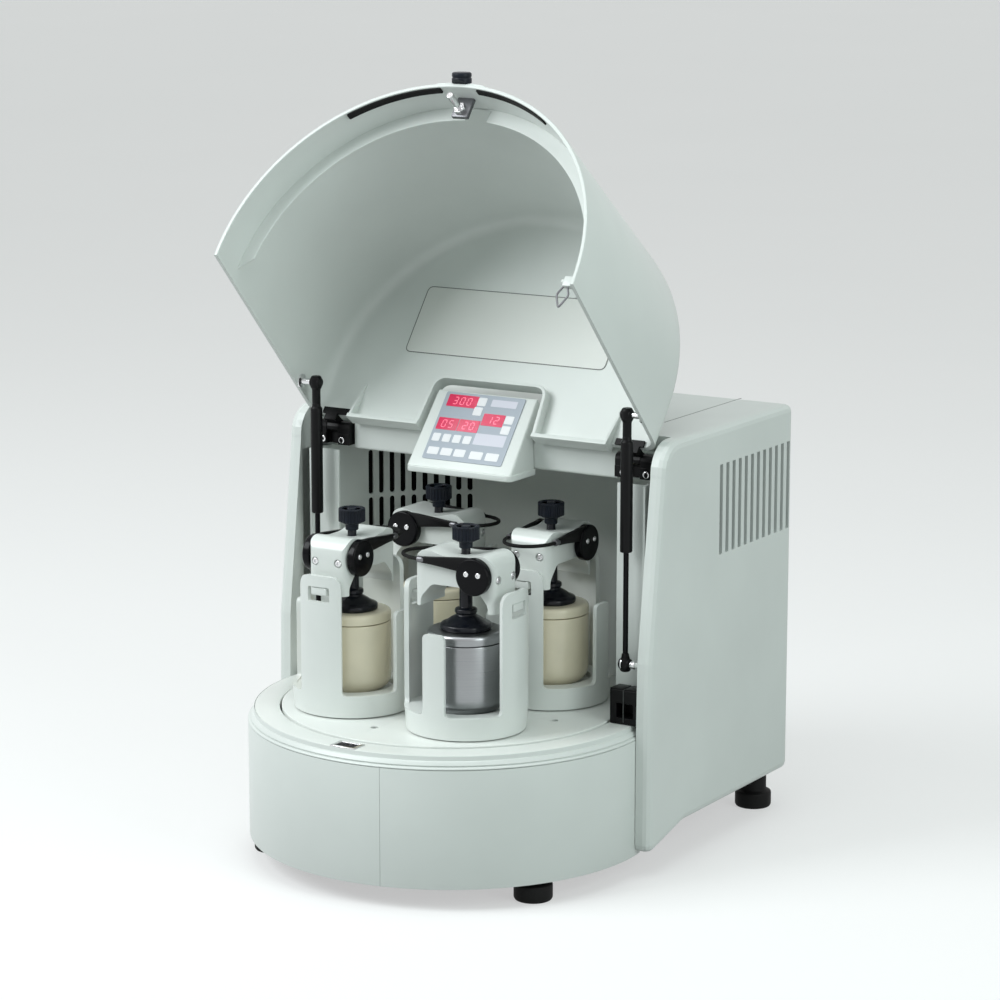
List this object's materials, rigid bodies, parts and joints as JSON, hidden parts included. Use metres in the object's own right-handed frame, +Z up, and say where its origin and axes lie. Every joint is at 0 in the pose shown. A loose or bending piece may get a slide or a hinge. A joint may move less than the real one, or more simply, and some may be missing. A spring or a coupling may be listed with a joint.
{
  "type": "planetary ball mill",
  "caption": "Bench-top planetary ball mill with clamped grinding bowls on a spinning sun disc under a hinged safety lid, with a sloping control console",
  "frame": {"origin": "centre of the footprint of the mill as shown, with its lid open, on the surface it stands on", "axes": "+Z up, -Y the front with the round drum, +X the operator's right facing the front"},
  "size_m": [0.58, 0.678, 1.0243],
  "materials": {
    "cream_shell": "fine satin paint",
    "lid_plastic": "fine satin",
    "cast_white": "cast and lacquered pale grey-green",
    "black_plastic": "satin",
    "black_rubber": "matt",
    "dark_steel": "machined",
    "bright_steel": "bright",
    "bowl_steel": "turned and brushed",
    "cream_ceramic": "smooth fired oxide ceramic",
    "keypad_grey": "printed membrane"
  },
  "bodies": {
    "mill": {"base_plate": "dark_steel", "drum_apron": "cream_shell", "deck_ring": "cream_shell", "lid_latch": "bright_steel", "chamber_wall": "cream_shell", "rear_housing": "cream_shell", "rear_panel": "cream_shell", "power_inlet": "black_plastic", "bearing_housing": "dark_steel", "motor": "dark_steel", "drive_belt": "black_rubber", "crossbar": "cream_shell", "console_housing": "lid_plastic", "keypad_panel": "keypad_grey", "lock_block": "black_plastic", "hinge_base_left": "black_plastic", "hinge_base_right": "black_plastic", "foot_front_left": "black_rubber", "foot_front_right": "black_rubber", "foot_rear_left": "black_rubber", "foot_rear_right": "black_rubber"},
    "lid": {"lid_shell": "lid_plastic", "lid_handle": "black_plastic", "lid_striker": "bright_steel", "hinge_leaf_left": "black_plastic", "hinge_leaf_right": "black_plastic"},
    "sun_disc_assembly": {"sun_disc": "cream_shell", "disc_shaft": "dark_steel", "planet_belt_low": "black_rubber", "planet_belt_high": "black_rubber"},
    "motor_pulley_body": {"motor_pulley": "dark_steel"},
    "power_switch_body": {"power_switch": "black_plastic"},
    "spring_rod_left": {"gas_spring_rod_left": "bright_steel"},
    "spring_tube_left": {"gas_spring_tube_left": "black_plastic"},
    "spring_rod_right": {"gas_spring_rod_right": "bright_steel"},
    "spring_tube_right": {"gas_spring_tube_right": "black_plastic"},
    "holder_front": {"bowl_holder_front": "cast_white", "bowl_front": "bowl_steel", "bowl_lid_front": "bowl_steel", "clamp_bridge_front": "cast_white"},
    "spindle_front": {"clamp_spindle_front": "black_plastic"},
    "lever_front": {"clamp_lever_front": "black_plastic"},
    "holder_right": {"bowl_holder_right": "cast_white", "bowl_right": "cream_ceramic", "bowl_lid_right": "cream_ceramic", "clamp_bridge_right": "cast_white"},
    "spindle_right": {"clamp_spindle_right": "black_plastic"},
    "lever_right": {"clamp_lever_right": "black_plastic"},
    "holder_rear": {"bowl_holder_rear": "cast_white", "bowl_rear": "cream_ceramic", "bowl_lid_rear": "cream_ceramic", "clamp_bridge_rear": "cast_white"},
    "spindle_rear": {"clamp_spindle_rear": "black_plastic"},
    "lever_rear": {"clamp_lever_rear": "black_plastic"},
    "holder_left": {"bowl_holder_left": "cast_white", "bowl_left": "cream_ceramic", "bowl_lid_left": "cream_ceramic", "clamp_bridge_left": "cast_white"},
    "spindle_left": {"clamp_spindle_left": "black_plastic"},
    "lever_left": {"clamp_lever_left": "black_plastic"}
  },
  "joints": [
    {"name": "lid_hinge", "type": "hinge", "parent": "mill", "child": "lid", "pos_m": [0, 0.0044, 0.5364], "axis": [1, 0, 0], "range_deg": [0, 127.67]},
    {"name": "spring_tilt_left", "type": "hinge", "parent": "mill", "child": "spring_rod_left", "pos_m": [-0.239, -0.0317, 0.275], "axis": [1, 0, 0], "range_deg": [-2.11, 0]},
    {"name": "spring_slide_left", "type": "slide", "parent": "spring_rod_left", "child": "spring_tube_left", "axis": [0, 0, 1], "range_m": [-0.1325, 0]},
    {"name": "spring_tilt_right", "type": "hinge", "parent": "mill", "child": "spring_rod_right", "pos_m": [0.239, -0.0317, 0.275], "axis": [1, 0, 0], "range_deg": [-2.11, 0]},
    {"name": "spring_slide_right", "type": "slide", "parent": "spring_rod_right", "child": "spring_tube_right", "axis": [0, 0, 1], "range_m": [-0.1325, 0]},
    {"name": "disc_spin", "type": "hinge", "parent": "mill", "child": "sun_disc_assembly", "pos_m": [0, -0.07, 0.2], "axis": [0, 0, 1], "continuous": true},
    {"name": "motor_spin", "type": "hinge", "parent": "mill", "child": "motor_pulley_body", "pos_m": [0, 0.265, 0.05], "axis": [0, 0, 1], "continuous": true},
    {"name": "holder_spin_front", "type": "hinge", "parent": "sun_disc_assembly", "child": "holder_front", "pos_m": [0.08421, -0.17035, 0.2], "axis": [0, 0, 1], "continuous": true},
    {"name": "spindle_turn_front", "type": "hinge", "parent": "holder_front", "child": "spindle_front", "pos_m": [0.08421, -0.17035, 0.4], "axis": [0, 0, 1], "range_deg": [0, 720]},
    {"name": "lever_lift_front", "type": "hinge", "parent": "holder_front", "child": "lever_front", "pos_m": [0.11721, -0.17035, 0.409], "axis": [0, 1, 0], "range_deg": [0, 40]},
    {"name": "holder_spin_right", "type": "hinge", "parent": "sun_disc_assembly", "child": "holder_right", "pos_m": [0.10035, 0.01421, 0.2], "axis": [0, 0, 1], "continuous": true},
    {"name": "spindle_turn_right", "type": "hinge", "parent": "holder_right", "child": "spindle_right", "pos_m": [0.10035, 0.01421, 0.4], "axis": [0, 0, 1], "range_deg": [0, 720]},
    {"name": "lever_lift_right", "type": "hinge", "parent": "holder_right", "child": "lever_right", "pos_m": [0.10035, 0.04721, 0.409], "axis": [-1, 0, 0], "range_deg": [0, 40]},
    {"name": "holder_spin_rear", "type": "hinge", "parent": "sun_disc_assembly", "child": "holder_rear", "pos_m": [-0.08421, 0.03035, 0.2], "axis": [0, 0, 1], "continuous": true},
    {"name": "spindle_turn_rear", "type": "hinge", "parent": "holder_rear", "child": "spindle_rear", "pos_m": [-0.08421, 0.03035, 0.4], "axis": [0, 0, 1], "range_deg": [0, 720]},
    {"name": "lever_lift_rear", "type": "hinge", "parent": "holder_rear", "child": "lever_rear", "pos_m": [-0.11721, 0.03035, 0.409], "axis": [0, -1, 0], "range_deg": [0, 40]},
    {"name": "holder_spin_left", "type": "hinge", "parent": "sun_disc_assembly", "child": "holder_left", "pos_m": [-0.10035, -0.15421, 0.2], "axis": [0, 0, 1], "continuous": true},
    {"name": "spindle_turn_left", "type": "hinge", "parent": "holder_left", "child": "spindle_left", "pos_m": [-0.10035, -0.15421, 0.4], "axis": [0, 0, 1], "range_deg": [0, 720]},
    {"name": "lever_lift_left", "type": "hinge", "parent": "holder_left", "child": "lever_left", "pos_m": [-0.10035, -0.18721, 0.409], "axis": [1, 0, 0], "range_deg": [0, 40]},
    {"name": "switch_rock", "type": "hinge", "parent": "mill", "child": "power_switch_body", "pos_m": [-0.1823, 0.3315, 0.12], "axis": [1, 0, 0], "range_deg": [0, 14]}
  ],
  "couplings": [
    {"joint": "spring_tilt_left", "follows": "lid_hinge", "ratio": -0.016483},
    {"joint": "spring_slide_left", "follows": "lid_hinge", "m_per_rad": -0.059401},
    {"joint": "spring_tilt_right", "follows": "lid_hinge", "ratio": -0.016483},
    {"joint": "spring_slide_right", "follows": "lid_hinge", "m_per_rad": -0.059401},
    {"joint": "motor_spin", "follows": "disc_spin", "ratio": 2.8571},
    {"joint": "holder_spin_front", "follows": "disc_spin", "ratio": -2.1918},
    {"joint": "holder_spin_right", "follows": "disc_spin", "ratio": -2.1918},
    {"joint": "holder_spin_rear", "follows": "disc_spin", "ratio": -2.1918},
    {"joint": "holder_spin_left", "follows": "disc_spin", "ratio": -2.1918}
  ]
}
